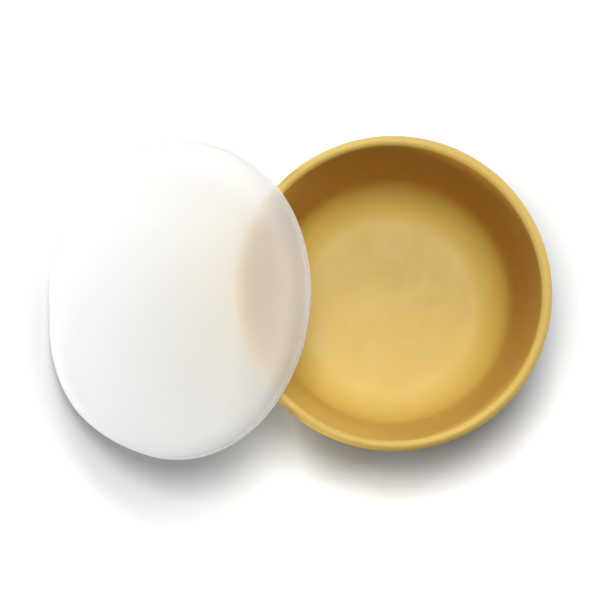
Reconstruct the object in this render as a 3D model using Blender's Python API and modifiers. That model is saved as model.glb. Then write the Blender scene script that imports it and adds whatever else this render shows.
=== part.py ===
"""Round silicone food bowl with its soft lid, taken off and leaning on the rim.

Metres, +Z up. The origin is the centre of the bowl's flat foot, on the table.
The bowl is one moulding of even wall with a fully rounded rim. The lid is one
thin milky moulding: a flat plate that turns over a soft shoulder into a skirt,
with a small lip, that goes over the bowl's rim.
"""
from math import cos, pi, radians, sin

import bpy

# Bowl
BOWL_RADIUS = 0.0650
BOWL_HEIGHT = 0.0620
BOWL_WALL = 0.0044
BOWL_TAPER = radians(12.5)
BOWL_FILLET = 0.0165

# Lid
LID_DEPTH = 0.0088
LID_PLATE = 0.0016
LID_SKIRT = 0.0010
LID_SHOULDER = 0.0068
LID_LIP_OUT = 0.0007
LID_LIP_HEIGHT = 0.0018
LID_CLEARANCE = 0.0003

# How the lid leans: its tilt, and the way round the bowl that it faces
LID_TILT = radians(33.2)
LID_TURN = radians(0.4)
SEAT_GAP = 0.0003

# Fineness of the turned surfaces
TURN_STEPS = 80
FILLET_STEPS = 8
RIM_STEPS = 10
SHOULDER_STEPS = 7
LIP_STEPS = 2
MERGE_DISTANCE = 0.00001

# Sizes that follow from the driving ones
RIM_ROUND = BOWL_WALL / 2
RIM_CENTRE_RADIUS = BOWL_RADIUS - RIM_ROUND
RIM_CENTRE_HEIGHT = BOWL_HEIGHT - RIM_ROUND
SKIRT_INNER_RADIUS = BOWL_RADIUS + LID_CLEARANCE
SKIRT_OUTER_RADIUS = SKIRT_INNER_RADIUS + LID_SKIRT
PLATE_UNDERSIDE = LID_DEPTH - LID_PLATE


def arc(centre, radius, start, end, steps):
    """Points (radius, height) along an arc from angle start to angle end."""
    points = []
    for step in range(steps + 1):
        angle = start + (end - start) * step / steps
        points.append((centre[0] + radius * cos(angle), centre[1] + radius * sin(angle)))
    return points


def silicone(name, colour, roughness, alpha):
    """A soft matt silicone; an alpha under 1 makes it milky and see-through."""
    material = bpy.data.materials.new(name)
    material.use_nodes = True
    shader = material.node_tree.nodes["Principled BSDF"]
    shader.inputs["Base Color"].default_value = (*colour, 1.0)
    shader.inputs["Roughness"].default_value = roughness
    shader.inputs["Metallic"].default_value = 0.0
    shader.inputs["Alpha"].default_value = alpha
    material.diffuse_color = (*colour, alpha)
    return material


def turned(name, profile, material, collection):
    """A solid of revolution about Z, from a profile that runs down its outer side."""
    mesh = bpy.data.meshes.new(name)
    points = [(radius, 0.0, height) for radius, height in profile]
    edges = [(index, index + 1) for index in range(len(points) - 1)]
    mesh.from_pydata(points, edges, [])
    mesh.materials.append(material)
    piece = bpy.data.objects.new(name, mesh)
    collection.objects.link(piece)
    screw = piece.modifiers.new("turn", "SCREW")
    screw.axis = "Z"
    screw.angle = 2 * pi
    screw.steps = TURN_STEPS
    screw.render_steps = TURN_STEPS
    screw.use_merge_vertices = True
    screw.merge_threshold = MERGE_DISTANCE
    screw.use_smooth_shade = True
    return piece


def bowl_profile():
    """Over the floor, up the inner wall, round the rim and down the outer wall to the foot.

    The two walls are parallel, and the inner and outer fillets share a centre, so the
    moulding has one thickness all over and the foot comes out flat.
    """
    reach = RIM_ROUND + BOWL_FILLET
    fall = RIM_CENTRE_HEIGHT - BOWL_WALL - BOWL_FILLET + reach * sin(BOWL_TAPER)
    slant = fall / cos(BOWL_TAPER)
    fillet_radius = RIM_CENTRE_RADIUS - slant * sin(BOWL_TAPER) - reach * cos(BOWL_TAPER)
    fillet = (fillet_radius, BOWL_WALL + BOWL_FILLET)
    rim = (RIM_CENTRE_RADIUS, RIM_CENTRE_HEIGHT)
    points = [(0.0, BOWL_WALL)]
    points += arc(fillet, BOWL_FILLET, -pi / 2, -BOWL_TAPER, FILLET_STEPS)
    points += arc(rim, RIM_ROUND, pi - BOWL_TAPER, -BOWL_TAPER, RIM_STEPS)
    points += arc(fillet, BOWL_FILLET + BOWL_WALL, -BOWL_TAPER, -pi / 2, FILLET_STEPS)
    points += [(0.0, 0.0)]
    return points


def lid_profile():
    """Over the plate, round the soft shoulder, round the lip and up inside."""
    shoulder = (SKIRT_OUTER_RADIUS - LID_SHOULDER, LID_DEPTH - LID_SHOULDER)
    inner_round = LID_SHOULDER - LID_SKIRT
    inner = (SKIRT_INNER_RADIUS - inner_round, PLATE_UNDERSIDE - inner_round)
    lip_top = (SKIRT_OUTER_RADIUS, LID_LIP_HEIGHT - LID_LIP_OUT)
    lip_foot = (SKIRT_OUTER_RADIUS, LID_LIP_OUT)
    points = [(0.0, LID_DEPTH)]
    points += arc(shoulder, LID_SHOULDER, pi / 2, 0.0, SHOULDER_STEPS)
    points += arc(lip_top, LID_LIP_OUT, pi / 2, 0.0, LIP_STEPS)
    points += arc(lip_foot, LID_LIP_OUT, 0.0, -pi / 2, LIP_STEPS)
    points += [(SKIRT_INNER_RADIUS, 0.0)]
    points += arc(inner, inner_round, 0.0, pi / 2, SHOULDER_STEPS)
    points += [(0.0, PLATE_UNDERSIDE)]
    return points


def lean(lid):
    """Stand the lid's lip on the table and lay its plate against the bowl's rim.

    The lid's origin is the centre of its open edge. Its height follows from the lowest
    point of the tilted lip, and its distance from the bowl follows from the rim, whose
    rounded top touches the underside of the plate.
    """
    lip_drop = SKIRT_OUTER_RADIUS * sin(LID_TILT) + LID_LIP_OUT * (1.0 - cos(LID_TILT))
    height = lip_drop + SEAT_GAP
    rise = (RIM_CENTRE_HEIGHT - height) * cos(LID_TILT)
    depth = PLATE_UNDERSIDE - RIM_ROUND - SEAT_GAP
    distance = RIM_CENTRE_RADIUS + (rise - depth) / sin(LID_TILT)
    lid.location = (-distance * cos(LID_TURN), -distance * sin(LID_TURN), height)
    lid.rotation_euler = (0.0, -LID_TILT, LID_TURN)


for leftover in list(bpy.data.objects):
    bpy.data.objects.remove(leftover, do_unlink=True)

parts = bpy.data.collections.new("bowl_with_lid")
bpy.context.scene.collection.children.link(parts)

mustard = silicone("mustard_silicone", (0.68, 0.42, 0.10), 0.55, 1.0)
milky = silicone("milky_silicone", (0.86, 0.86, 0.84), 0.45, 0.75)

turned("bowl", bowl_profile(), mustard, parts)
lean(turned("lid", lid_profile(), milky, parts))
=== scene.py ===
"""Mustard silicone bowl with its milky lid off and leaning on the rim, seen from almost overhead."""
from math import cos, pi, radians, sin

import bpy
import numpy as np
from mathutils import Matrix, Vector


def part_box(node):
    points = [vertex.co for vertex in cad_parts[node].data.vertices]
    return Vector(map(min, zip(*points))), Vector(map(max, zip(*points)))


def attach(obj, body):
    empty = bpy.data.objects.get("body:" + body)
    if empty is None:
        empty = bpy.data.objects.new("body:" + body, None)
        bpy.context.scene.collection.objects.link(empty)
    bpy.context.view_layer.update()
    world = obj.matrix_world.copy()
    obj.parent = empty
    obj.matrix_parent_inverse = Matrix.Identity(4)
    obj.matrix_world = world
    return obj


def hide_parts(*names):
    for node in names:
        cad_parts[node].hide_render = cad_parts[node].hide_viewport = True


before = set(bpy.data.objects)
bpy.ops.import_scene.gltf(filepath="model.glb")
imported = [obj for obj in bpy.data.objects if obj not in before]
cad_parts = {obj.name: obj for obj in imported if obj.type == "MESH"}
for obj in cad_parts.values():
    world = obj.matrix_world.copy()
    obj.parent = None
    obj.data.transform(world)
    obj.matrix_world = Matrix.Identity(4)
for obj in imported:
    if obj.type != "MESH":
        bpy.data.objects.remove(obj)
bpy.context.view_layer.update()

# Bowl
# One thick moulding of mustard yellow silicone, pressed in a two-part mould. It has a fully
# rounded rim, a wall of even thickness that tapers in, a large inside fillet and a flat floor.
# Nothing is fixed to it, and it stands on its flat foot.
bowl_low, bowl_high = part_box("bowl")
bowl_radius = (bowl_high.x - bowl_low.x) / 2
bowl_height = bowl_high.z
bowl_wall = 0.0044
bowl_taper = radians(12.5)
bowl_fillet = 0.0165
bowl_turns = 288
bowl_flat_rings = 12
bowl_fillet_rings = 28
bowl_wall_rings = 24
bowl_rim_rings = 61
# Each wave has its count round the bowl, its size and its phase.
oval_waves = ((2, 0.00012, 0.6), (3, 0.00005, 2.1))
rim_waves = ((2, 0.00010, -0.9), (5, 0.00006, 0.4))
mould_line_size = 0.00005
mould_line_spread = 0.00022
# The deeper mustard serves the mottling and the painted shade on the inner wall.
mustard = (0.630, 0.455, 0.103, 1.0)
mustard_mottle_and_shade = (0.49, 0.225, 0.030, 1.0)
# Painted shade on the inner wall: its steps in height and its sine round the bowl.
painted_shade_start = 0.0095
painted_shade_rise = 0.017
painted_shade_end = 0.0005
painted_shade_fall = 0.002
painted_shade_mean = 0.62
painted_shade_swing = 0.38
painted_shade_turn = 0.35
deep_outside = 0.14
bowl_gloss = 0.6
silicone_ior = 1.41
mottle_share = 0.12
ripple_share = 0.5
grain_strength = 0.35


def arc(centre, radius, start, end, count):
    """Points centre + radius * (cos a, sin a), with the angle a going evenly from start to end."""
    angle = np.linspace(start, end, count)
    return np.stack([centre[0] + radius * np.cos(angle), centre[1] + radius * np.sin(angle)], -1)


def straight(start, end, count):
    """Points start + (end - start) * t, with t going evenly from 0 to 1, both ends left out."""
    share = np.linspace(0.0, 1.0, count + 2)[1:-1, None]
    return (1.0 - share) * np.array(start) + share * np.array(end)


def turned_grid(profile, turns):
    """Surface of revolution P(s, a) = (r(s) cos a, r(s) sin a, z(s)) as an array of rings."""
    angle = np.arange(turns) * 2 * pi / turns
    radius = profile[:, :1]
    height = np.broadcast_to(profile[:, 1:], (len(profile), turns))
    return np.stack([radius * np.cos(angle), radius * np.sin(angle), height], -1), angle


def closed_mesh(name, rings, first_pole, last_pole):
    """A closed mesh: quads between neighbouring rings, and a fan at each pole.

    The rings run down the outer side, so that every face points outwards.
    """
    count, turns = rings.shape[:2]
    ring = np.arange(count - 1)[:, None] * turns
    here = np.arange(turns)
    after = np.roll(here, -1)
    quads = np.stack([ring + here, ring + turns + here, ring + turns + after, ring + after], -1)
    last_ring = (count - 1) * turns
    first = np.full(turns, count * turns)
    first_fan = np.stack([first, here, after], -1)
    last_fan = np.stack([first + 1, last_ring + after, last_ring + here], -1)
    points = np.concatenate([rings.reshape(-1, 3), [first_pole, last_pole]])
    mesh = bpy.data.meshes.new(name)
    faces = quads.reshape(-1, 4).tolist() + first_fan.tolist() + last_fan.tolist()
    mesh.from_pydata(points, [], faces)
    mesh.shade_smooth()
    piece = bpy.data.objects.new(name, mesh)
    bpy.context.scene.collection.objects.link(piece)
    return piece


def bowl_profile():
    """Floor, inner fillet, inner wall, rounded rim, outer wall, outer fillet and foot.

    The walls are parallel lines, tangent to the rim's circle, and the two fillets are arcs
    about one centre, so that the moulding has the same thickness all over.
    """
    rim_round = bowl_wall / 2
    rim = (bowl_radius - rim_round, bowl_height - rim_round)
    reach = rim_round + bowl_fillet
    fall = rim[1] - bowl_wall - bowl_fillet + reach * sin(bowl_taper)
    slant = fall / cos(bowl_taper)
    centre = (rim[0] - slant * sin(bowl_taper) - reach * cos(bowl_taper), bowl_wall + bowl_fillet)
    inner = arc(centre, bowl_fillet, -pi / 2, -bowl_taper, bowl_fillet_rings)
    lip = arc(rim, rim_round, pi - bowl_taper, -bowl_taper, bowl_rim_rings)
    outer = arc(centre, bowl_fillet + bowl_wall, -bowl_taper, -pi / 2, bowl_fillet_rings)
    floor = straight((0.0, bowl_wall), inner[0], bowl_flat_rings)
    foot = straight(outer[-1], (0.0, 0.0), bowl_flat_rings)
    inner_wall = straight(inner[-1], lip[0], bowl_wall_rings)
    outer_wall = straight(lip[-1], outer[0], bowl_wall_rings)
    return np.concatenate([floor, inner, inner_wall, lip, outer_wall, outer, foot])


def soft_bowl(rings, angle):
    """The moulding as it really stands: a trace out of round and wavy towards its free rim.

    The outline is a sum of two cosines of the angle that grows with the square of the height.
    The rim's wave is another such sum that grows with the cube. A fine mould line, a bell
    curve in height, runs round the rim's widest place.
    """
    height = rings[..., 2] / bowl_height
    free = height ** 2
    oval = sum(size * np.cos(count * angle + phase) for count, size, phase in oval_waves)
    wave = sum(size * np.cos(count * angle + phase) for count, size, phase in rim_waves)
    radius = np.hypot(rings[..., 0], rings[..., 1])
    widest = bowl_height - bowl_wall / 2
    outside = radius > bowl_radius - bowl_wall / 2
    bell = np.exp(-((rings[..., 2] - widest) / mould_line_spread) ** 2)
    line = mould_line_size * bell * outside
    grown = 1.0 + (oval * free + line) / radius
    bent = rings * np.stack([grown, grown, np.ones_like(grown)], -1)
    bent[..., 2] += wave * free * height
    return bent


def painted_shade_share(height, angle):
    """Share of the deeper colour: none on the floor, painted shade on the inner wall, even outside.

    It rises along a smooth step from the floor to the top of the fillet and falls along
    another to the rim's own share. On the wall it goes with a sine of the angle, as painted
    shade deepest at the back and a little to the right, where the wall faces away from the
    lamps. The rings after the highest one are the outside, which has the rim's share all over.
    """
    up = np.clip((height - painted_shade_start) / painted_shade_rise, 0.0, 1.0)
    down = np.clip((bowl_height - painted_shade_end - height) / painted_shade_fall, 0.0, 1.0)
    wall = painted_shade_mean + painted_shade_swing * np.sin(angle + painted_shade_turn)
    share = deep_outside + (wall - deep_outside) * down ** 2 * (3.0 - 2.0 * down)
    share = share * up ** 2 * (3.0 - 2.0 * up)
    share[height.mean(1).argmax():] = deep_outside
    return np.append(share.ravel(), [0.0, deep_outside])


def silicone_skin():
    """Node group for moulded silicone: slow mottling of the colour, a fine matt grain and smudges.

    Colour goes from Colour to Deep Colour by a slow noise and by Depth, which brings the bowl's
    painted shade. Roughness is Roughness plus a share of a second noise, and height is a fine
    grain over a gentler ripple.
    """
    group = bpy.data.node_groups.new("silicone_skin", "ShaderNodeTree")
    for name in ("Colour", "Deep Colour"):
        group.interface.new_socket(name, in_out="INPUT", socket_type="NodeSocketColor")
    for name in ("Roughness", "Smudge", "Grain Scale", "Depth"):
        group.interface.new_socket(name, in_out="INPUT", socket_type="NodeSocketFloat")
    group.interface.new_socket("Colour", in_out="OUTPUT", socket_type="NodeSocketColor")
    for name in ("Roughness", "Height"):
        group.interface.new_socket(name, in_out="OUTPUT", socket_type="NodeSocketFloat")
    nodes = group.nodes
    link = group.links.new
    given = nodes.new("NodeGroupInput")
    out = nodes.new("NodeGroupOutput")
    place = nodes.new("ShaderNodeTexCoord")

    def noise(scale, detail):
        """A noise on the piece's own coordinates, of a scale per metre and a count of octaves."""
        texture = nodes.new("ShaderNodeTexNoise")
        texture.inputs["Scale"].default_value = scale
        texture.inputs["Detail"].default_value = detail
        link(place.outputs["Object"], texture.inputs["Vector"])
        return texture

    mottle = noise(scale=55.0, detail=4.0)
    shade = nodes.new("ShaderNodeMix")
    shade.data_type = "RGBA"
    deeper = nodes.new("ShaderNodeMath")
    deeper.operation = "MULTIPLY_ADD"
    deeper.inputs[1].default_value = mottle_share
    deeper.use_clamp = True
    link(mottle.outputs["Fac"], deeper.inputs[0])
    link(given.outputs["Depth"], deeper.inputs[2])
    link(deeper.outputs["Value"], shade.inputs["Factor"])
    link(given.outputs["Colour"], shade.inputs["A"])
    link(given.outputs["Deep Colour"], shade.inputs["B"])
    link(shade.outputs["Result"], out.inputs["Colour"])

    smudge = noise(scale=95.0, detail=6.0)
    smudge.inputs["Roughness"].default_value = 0.62
    centred = nodes.new("ShaderNodeMath")
    centred.operation = "SUBTRACT"
    centred.inputs[1].default_value = 0.5
    link(smudge.outputs["Fac"], centred.inputs[0])
    rough = nodes.new("ShaderNodeMath")
    rough.operation = "MULTIPLY_ADD"
    link(centred.outputs["Value"], rough.inputs[0])
    link(given.outputs["Smudge"], rough.inputs[1])
    link(given.outputs["Roughness"], rough.inputs[2])
    link(rough.outputs["Value"], out.inputs["Roughness"])

    grain = noise(scale=1.0, detail=3.0)
    link(given.outputs["Grain Scale"], grain.inputs["Scale"])
    ripple = noise(scale=240.0, detail=1.0)
    height = nodes.new("ShaderNodeMath")
    height.operation = "MULTIPLY_ADD"
    height.inputs[1].default_value = ripple_share
    link(ripple.outputs["Fac"], height.inputs[0])
    link(grain.outputs["Fac"], height.inputs[2])
    link(height.outputs["Value"], out.inputs["Height"])
    return group


def silicone(name, colour, deep_colour, roughness, smudge, grain_scale, relief):
    """Principled silicone with the skin group on its colour, roughness and bump.

    Returns the material with its shader and its skin node, for what only one piece has.
    """
    material = bpy.data.materials.new(name)
    material.use_nodes = True
    nodes = material.node_tree.nodes
    link = material.node_tree.links.new
    shader = nodes["Principled BSDF"]
    skin = nodes.new("ShaderNodeGroup")
    skin.node_tree = skin_group
    skin.inputs["Colour"].default_value = colour
    skin.inputs["Deep Colour"].default_value = deep_colour
    skin.inputs["Roughness"].default_value = roughness
    skin.inputs["Smudge"].default_value = smudge
    skin.inputs["Grain Scale"].default_value = grain_scale
    bump = nodes.new("ShaderNodeBump")
    bump.inputs["Strength"].default_value = grain_strength
    bump.inputs["Distance"].default_value = relief
    link(skin.outputs["Colour"], shader.inputs["Base Color"])
    link(skin.outputs["Roughness"], shader.inputs["Roughness"])
    link(skin.outputs["Height"], bump.inputs["Height"])
    link(bump.outputs["Normal"], shader.inputs["Normal"])
    shader.inputs["IOR"].default_value = silicone_ior
    return material, shader, skin


skin_group = silicone_skin()
bowl_rings, bowl_angle = turned_grid(bowl_profile(), bowl_turns)
bowl_rings = soft_bowl(bowl_rings, bowl_angle)
bowl = closed_mesh("bowl_moulding", bowl_rings, (0.0, 0.0, bowl_wall), (0.0, 0.0, 0.0))
bowl_finish, bowl_shader, bowl_skin = silicone(
    "mustard_silicone", mustard, mustard_mottle_and_shade,
    roughness=0.52, smudge=0.22, grain_scale=1500.0, relief=0.00006,
)
bowl_shader.inputs["Specular IOR Level"].default_value = bowl_gloss
# The attribute deep brings the inner wall's painted shade into the skin's Depth.
wall_shade_reader = bowl_finish.node_tree.nodes.new("ShaderNodeAttribute")
wall_shade_reader.attribute_name = "deep"
bowl_finish.node_tree.links.new(wall_shade_reader.outputs["Fac"], bowl_skin.inputs["Depth"])
bowl_painted_shade = painted_shade_share(bowl_rings[..., 2], bowl_angle)
bowl.data.attributes.new("deep", "FLOAT", "POINT").data.foreach_set("value", bowl_painted_shade)
bowl.data.materials.append(bowl_finish)
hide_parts("bowl")
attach(bowl, "bowl")

# Lid
# One thin moulding of milky silicone that lets light through. A flat plate turns over a rounded
# shoulder into a short skirt, which ends in a small beaded lip and stretches over the bowl's rim.
# It is off the bowl, with its lip on the table and its plate against the rim.
lid_plate = 0.0016
lid_skirt = 0.0010
lid_shoulder = 0.0068
lid_lip_out = 0.0007
lid_lip_height = 0.0018
lid_turns = 288
lid_plate_rings = 36
lid_shoulder_rings = 40
lid_lip_side_rings = 8
lid_skirt_rings = 6
lid_inner_rings = 24
milk = (0.97, 0.972, 0.972, 1.0)
milk_deep = (0.955, 0.955, 0.95, 1.0)
milk_through = (0.962, 0.966, 0.967, 1.0)
milk_clear = (0.945, 0.965, 0.995, 1.0)
lid_share_clear = 0.41
lid_share_through = 0.67
edge_share_through = 0.52
lip_share_through = 0.15
bead_step = 0.4
scatter_radius = (1.0, 0.97, 0.93)
scatter_scale = 0.009
lid_soften = 0.80
soften_rings = 7
lid_points = np.array([point.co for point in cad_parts["lid"].data.vertices])
lid_points = np.unique(lid_points.round(6), axis=0)
lid_middle = lid_points.mean(0)
lid_axis = np.linalg.svd(lid_points - lid_middle, full_matrices=False)[2][2]
lid_axis = lid_axis * np.sign(lid_axis[2])
lid_along = (lid_points - lid_middle) @ lid_axis
lid_depth = lid_along.max() - lid_along.min()
lid_centre = lid_middle + lid_axis * lid_along.min()
lid_uphill = np.array([0.0, 0.0, 1.0]) - lid_axis[2] * lid_axis
lid_uphill = lid_uphill / np.linalg.norm(lid_uphill)
lid_across = np.cross(lid_axis, lid_uphill)
lid_radius = np.linalg.norm(lid_points - lid_middle - np.outer(lid_along, lid_axis), axis=1).max()


def lid_profile():
    """Plate, soft shoulder arc, lip, inside of the skirt, inner arc and underside.

    The plate and skirt are straight lines, and the rest are arcs tangent to them. The place
    of the lip's first ring comes with the profile.
    """
    outer_radius = lid_radius - lid_lip_out
    inner_radius = outer_radius - lid_skirt
    underside = lid_depth - lid_plate
    inner_round = lid_shoulder - lid_skirt
    outer_centre = (outer_radius - lid_shoulder, lid_depth - lid_shoulder)
    inner_centre = (inner_radius - inner_round, underside - inner_round)
    lip_top_centre = (outer_radius, lid_lip_height - lid_lip_out)
    lip_foot_centre = (outer_radius, lid_lip_out)
    shoulder = arc(outer_centre, lid_shoulder, pi / 2, 0.0, lid_shoulder_rings)
    lip_top = arc(lip_top_centre, lid_lip_out, pi / 2, 0.0, lid_lip_side_rings)
    lip_foot = arc(lip_foot_centre, lid_lip_out, 0.0, -pi / 2, lid_lip_side_rings)
    inner = arc(inner_centre, inner_round, 0.0, pi / 2, lid_inner_rings)
    plate = straight((0.0, lid_depth), shoulder[0], lid_plate_rings)
    skirt_inside = straight((inner_radius, 0.0), inner[0], lid_skirt_rings)
    below = straight(inner[-1], (0.0, underside), lid_plate_rings)
    foot = [(inner_radius, 0.0)]
    lines = [plate, shoulder, lip_top, lip_foot, foot, skirt_inside, inner, below]
    return np.concatenate(lines), len(plate) + len(shoulder)


def soft_lid(rings, angle):
    """The lid as it lies: its soft edge is pressed out of round where it stands on the table.

    The edge moves outwards, level with the table, by a sum of bell curves in the angle from
    the uphill side. The move fades with the fourth power of the radius towards the middle.
    """
    places = np.radians([-178.0, -142.0, -109.0, -62.0, 113.0, 152.0])
    widths = np.radians([13.0, 14.0, 15.0, 22.0, 14.0, 16.0])
    moves = np.array([-0.0022, 0.0010, -0.0009, 0.0005, 0.0010, -0.0015])
    turn = (angle[:, None] - places + pi) % (2 * pi) - pi
    push = (moves * np.exp(-(turn / widths) ** 2)).sum(1)
    radius = np.hypot(rings[..., 0], rings[..., 1])
    fade = (radius / lid_radius) ** 4
    outward = np.outer(np.cos(angle), lid_uphill) + np.outer(np.sin(angle), lid_across)
    outward[:, 2] = 0.0
    lid_frame = np.stack([lid_uphill, lid_across, lid_axis])
    return rings @ lid_frame + lid_centre + (push * fade)[..., None] * outward


def soften_shading(piece, rings):
    """Shading normals (1 - share) * normal + share * axis, as if light were spread inside the lid.

    The share is lid_soften on the plate and the shoulder, fades over the last rings before the
    lip, and is nothing on the lip and the inside.
    """
    normals = np.empty(len(piece.data.vertices) * 3)
    piece.data.vertices.foreach_get("normal", normals)
    normals = normals.reshape(-1, 3)
    ring = np.arange(len(rings))
    share = np.interp(ring, [lid_lip_start - soften_rings, lid_lip_start - 1], [lid_soften, 0.0])
    share = np.append(share.repeat(rings.shape[1]), [lid_soften, 0.0])[:, None]
    soft = (1.0 - share) * normals + share * lid_axis
    soft = soft / np.linalg.norm(soft, axis=1)[:, None]
    piece.data.normals_split_custom_set_from_vertices(soft)


def share_through(radius):
    """The share of light that comes through: less round the shoulder, and least in the lip's bead.

    It falls with the square of the way across the shoulder, from lid_share_through to
    edge_share_through, and then along a short straight step to lip_share_through.
    """
    shoulder_start = lid_radius - lid_lip_out - lid_shoulder
    edge = np.clip((radius - shoulder_start) / lid_shoulder, 0.0, 1.0) ** 2
    bead = np.clip((radius - lid_radius + lid_lip_out) / (bead_step * lid_lip_out), 0.0, 1.0)
    share = lid_share_through + (edge_share_through - lid_share_through) * edge
    return share + (lip_share_through - share) * bead


def milky_silicone():
    """Milky silicone: a scattering surface, light spread from the other side, and a clear share.

    The share of spread light follows the attribute "through" of the mesh. The clear share
    goes straight through, a little cooler, so that the bowl's rim shows behind the plate.
    """
    material, shader = silicone(
        "milky_silicone", milk, milk_deep,
        roughness=0.62, smudge=0.18, grain_scale=1300.0, relief=0.00005,
    )[:2]
    shader.inputs["Subsurface Weight"].default_value = 1.0
    shader.inputs["Subsurface Radius"].default_value = scatter_radius
    shader.inputs["Subsurface Scale"].default_value = scatter_scale
    nodes = material.node_tree.nodes
    link = material.node_tree.links.new
    through = nodes.new("ShaderNodeBsdfTranslucent")
    through.inputs["Color"].default_value = milk_through
    share = nodes.new("ShaderNodeAttribute")
    share.attribute_name = "through"
    mix = nodes.new("ShaderNodeMixShader")
    link(share.outputs["Fac"], mix.inputs["Fac"])
    link(shader.outputs["BSDF"], mix.inputs[1])
    link(through.outputs["BSDF"], mix.inputs[2])
    clear = nodes.new("ShaderNodeBsdfTransparent")
    clear.inputs["Color"].default_value = milk_clear
    whole = nodes.new("ShaderNodeMixShader")
    whole.inputs["Fac"].default_value = lid_share_clear
    link(mix.outputs["Shader"], whole.inputs[1])
    link(clear.outputs["BSDF"], whole.inputs[2])
    link(whole.outputs["Shader"], nodes["Material Output"].inputs["Surface"])
    return material


lid_line, lid_lip_start = lid_profile()
lid_rings, lid_angle = turned_grid(lid_line, lid_turns)
lid_rings = soft_lid(lid_rings, lid_angle)
lid_top_pole = lid_centre + lid_axis * lid_depth
lid_low_pole = lid_centre + lid_axis * (lid_depth - lid_plate)
lid = closed_mesh("lid_moulding", lid_rings, lid_top_pole, lid_low_pole)
soften_shading(lid, lid_rings)
lid_share = share_through(np.append(lid_line[:, 0].repeat(lid_turns), [0.0, 0.0]))
lid.data.attributes.new("through", "FLOAT", "POINT").data.foreach_set("value", lid_share)
lid.data.materials.append(milky_silicone())
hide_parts("lid")
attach(lid, "lid")

# Table and light
# A white table that goes over into a white backdrop, in a faint even surround. A soft box hangs
# overhead, weaker ones are at the back and the right, and a low one at the left shines through the
# lid. To the camera the table has a painted shadow near the pieces and is whiter away from them.
table_size = 6.0
table_white = (0.92, 0.92, 0.92, 1.0)
# Greys the camera sees on the table beside each piece: painted shadow, a little cool.
bowl_painted_shadow_colour = (0.548, 0.592, 0.672, 1.0)
lid_painted_shadow_colour = (0.50, 0.510, 0.524, 1.0)
table_seen_far = (1.30, 1.30, 1.30, 1.0)
# Where the painted shadow round each piece starts and how far it fades.
bowl_shade_start = 0.0585
bowl_shade_fade = 0.027
bowl_shade_right = 0.009
lid_shade_start = 0.0617
lid_shade_fade = 0.038
lid_shade_forward = 0.0065
lid_shade_left = 0.003
lid_shade_squeeze = 1.27
backdrop_start = 0.17
backdrop_fade = 0.25
surround_fill = 0.02
lamp_distance = 2.6

table_mesh = bpy.data.meshes.new("table")
half = table_size / 2
table_corners = [(-half, -half, 0.0), (half, -half, 0.0), (half, half, 0.0), (-half, half, 0.0)]
table_mesh.from_pydata(table_corners, [], [(0, 1, 2, 3)])
table = bpy.data.objects.new("table", table_mesh)
bpy.context.scene.collection.objects.link(table)
table_finish = bpy.data.materials.new("white_table")
table_finish.use_nodes = True
table_nodes = table_finish.node_tree.nodes
table_link = table_finish.node_tree.links.new
table_nodes.clear()
table_out = table_nodes.new("ShaderNodeOutputMaterial")
table_matt = table_nodes.new("ShaderNodeBsdfDiffuse")
table_path = table_nodes.new("ShaderNodeLightPath")
table_colour = table_nodes.new("ShaderNodeMix")
table_colour.data_type = "RGBA"
table_colour.inputs["A"].default_value = table_white
table_place = table_nodes.new("ShaderNodeTexCoord")


def clear_of(middle, squeeze, start, fade):
    """How clear a place is of a piece: (squeezed distance from its middle - start) / fade."""
    from_middle = table_nodes.new("ShaderNodeVectorMath")
    from_middle.operation = "SUBTRACT"
    from_middle.inputs[1].default_value = middle
    table_link(table_place.outputs["Object"], from_middle.inputs[0])
    squeezed = table_nodes.new("ShaderNodeVectorMath")
    squeezed.operation = "MULTIPLY"
    squeezed.inputs[1].default_value = (squeeze, 1.0, 0.0)
    table_link(from_middle.outputs["Vector"], squeezed.inputs[0])
    reach = table_nodes.new("ShaderNodeVectorMath")
    reach.operation = "LENGTH"
    table_link(squeezed.outputs["Vector"], reach.inputs[0])
    share = table_nodes.new("ShaderNodeMath")
    share.operation = "MULTIPLY_ADD"
    share.inputs[1].default_value = 1.0 / fade
    share.inputs[2].default_value = -start / fade
    table_link(reach.outputs["Value"], share.inputs[0])
    return share.outputs["Value"]


table_share = table_nodes.new("ShaderNodeMath")
table_share.operation = "MINIMUM"
table_share.use_clamp = True
lid_low, lid_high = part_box("lid")
lid_spot = ((lid_low.x + lid_high.x) / 2 - lid_shade_left, -lid_shade_forward, 0.0)
bowl_spot = (bowl_shade_right, 0.0, 0.0)
clear_of_bowl = clear_of(bowl_spot, 1.0, bowl_shade_start, bowl_shade_fade)
clear_of_lid = clear_of(lid_spot, lid_shade_squeeze, lid_shade_start, lid_shade_fade)
table_link(clear_of_bowl, table_share.inputs[0])
table_link(clear_of_lid, table_share.inputs[1])
# Painted shadow: near the pieces the camera sees the table grey, and past them over-white.
table_painted_shadow = table_nodes.new("ShaderNodeMix")
table_painted_shadow.data_type = "RGBA"
table_painted_shadow.inputs["A"].default_value = bowl_painted_shadow_colour
table_painted_shadow.inputs["B"].default_value = lid_painted_shadow_colour
table_link(clear_of_bowl, table_painted_shadow.inputs["Factor"])
table_seen = table_nodes.new("ShaderNodeMix")
table_seen.data_type = "RGBA"
table_link(table_painted_shadow.outputs["Result"], table_seen.inputs["A"])
table_seen.inputs["B"].default_value = table_seen_far
table_link(table_share.outputs["Value"], table_seen.inputs["Factor"])
table_link(table_seen.outputs["Result"], table_colour.inputs["B"])
table_link(table_path.outputs["Is Camera Ray"], table_colour.inputs["Factor"])
table_link(table_colour.outputs["Result"], table_matt.inputs["Color"])
seen_or_mirrored = table_nodes.new("ShaderNodeMath")
seen_or_mirrored.operation = "MAXIMUM"
table_link(table_path.outputs["Is Camera Ray"], seen_or_mirrored.inputs[0])
table_link(table_path.outputs["Is Glossy Ray"], seen_or_mirrored.inputs[1])
far_seen = table_nodes.new("ShaderNodeMath")
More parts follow.
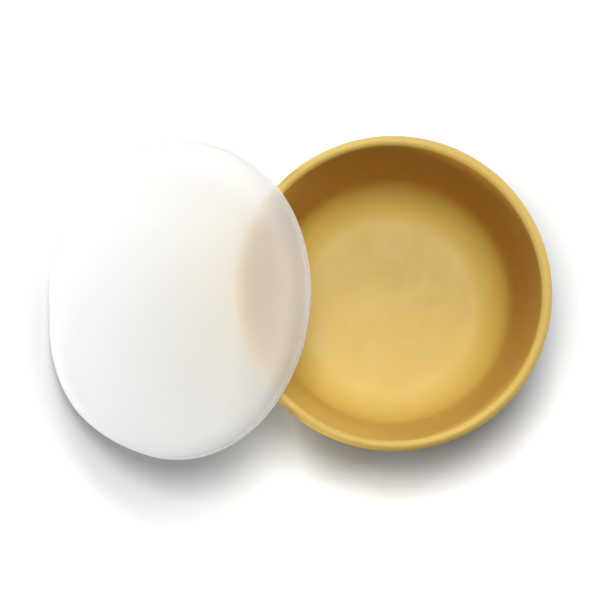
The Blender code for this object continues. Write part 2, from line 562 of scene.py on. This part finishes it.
far_seen.operation = "MULTIPLY"
far_seen.use_clamp = True
table_link(clear_of((0.0, 0.0, 0.0), 1.0, backdrop_start, backdrop_fade), far_seen.inputs[0])
table_link(seen_or_mirrored.outputs["Value"], far_seen.inputs[1])
backdrop = table_nodes.new("ShaderNodeEmission")
table_mix = table_nodes.new("ShaderNodeMixShader")
table_link(far_seen.outputs["Value"], table_mix.inputs["Fac"])
table_link(table_matt.outputs["BSDF"], table_mix.inputs[1])
table_link(backdrop.outputs["Emission"], table_mix.inputs[2])
table_link(table_mix.outputs["Shader"], table_out.inputs["Surface"])
table_mesh.materials.append(table_finish)

surround = bpy.data.worlds.new("surround")
surround.use_nodes = True
bpy.context.scene.world = surround
sky_nodes = surround.node_tree.nodes
sky_link = surround.node_tree.links.new
sky = sky_nodes["Background"]
sky_path = sky_nodes.new("ShaderNodeLightPath")
sky_strength = sky_nodes.new("ShaderNodeMapRange")
sky_strength.inputs["To Min"].default_value = surround_fill
sky_strength.inputs["To Max"].default_value = 1.0
sky_seen = sky_nodes.new("ShaderNodeMath")
sky_seen.operation = "MAXIMUM"
sky_link(sky_path.outputs["Is Camera Ray"], sky_seen.inputs[0])
sky_link(sky_path.outputs["Is Glossy Ray"], sky_seen.inputs[1])
sky_link(sky_seen.outputs["Value"], sky_strength.inputs["Value"])
sky.inputs["Color"].default_value = (1.0, 1.0, 1.0, 1.0)
sky_link(sky_strength.outputs["Result"], sky.inputs["Strength"])


def soft_lamp(name, width, energy, height, turn):
    """A square soft box, aimed at the origin from an angle over the table.

    Its turn is the angle from the back towards the right, and it stands lamp_distance away.
    """
    light = bpy.data.lights.new(name, "AREA")
    light.shape = "SQUARE"
    light.size = width
    light.energy = energy
    lamp = bpy.data.objects.new(name, light)
    lamp.location = (
        lamp_distance * cos(height) * sin(turn),
        lamp_distance * cos(height) * cos(turn),
        lamp_distance * sin(height),
    )
    lamp.rotation_euler = lamp.location.to_track_quat("Z", "Y").to_euler()
    bpy.context.scene.collection.objects.link(lamp)


soft_lamp("overhead_key", width=0.92, energy=47.5, height=radians(79), turn=radians(11))
soft_lamp("back_fill", width=0.90, energy=19.5, height=radians(42), turn=radians(0))
soft_lamp("right_fill", width=0.60, energy=18.0, height=radians(18), turn=radians(62))
soft_lamp("left_fill", width=0.56, energy=80.0, height=radians(6.2), turn=radians(-92))

# Camera
# A long lens, nearly overhead. Its place and focal length put the rim's centre and width where
# the photograph has them, so the lens needs no shift.
image_pixels = 600
rim_centre_pixel = (393.5, 292.2)
rim_half_width_pixels = 158.8
camera_height = radians(84.5)
camera_distance = 1.2
camera_reach = 20.0
sensor = 36.0

pixel = bowl_radius / rim_half_width_pixels
camera_right = np.array([1.0, 0.0, 0.0])
camera_up = np.array([0.0, sin(camera_height), cos(camera_height)])
camera_back = np.array([0.0, -cos(camera_height), sin(camera_height)])
rim_right = (rim_centre_pixel[0] - image_pixels / 2) * pixel
rim_up = (image_pixels / 2 - rim_centre_pixel[1]) * pixel
rim_centre = np.array([0.0, 0.0, bowl_height])
camera_target = rim_centre - rim_right * camera_right - rim_up * camera_up
camera_place = camera_target + camera_distance * camera_back
lens = bpy.data.cameras.new("camera")
lens.sensor_width = sensor
lens.lens = sensor * camera_distance / (image_pixels * pixel)
lens.clip_end = camera_reach
camera = bpy.data.objects.new("camera", lens)
camera_tilt = Matrix.Rotation(pi / 2 - camera_height, 4, "X")
camera.matrix_world = Matrix.Translation(camera_place) @ camera_tilt
bpy.context.scene.collection.objects.link(camera)
bpy.context.scene.camera = camera
bpy.context.scene.view_settings.view_transform = "Standard"
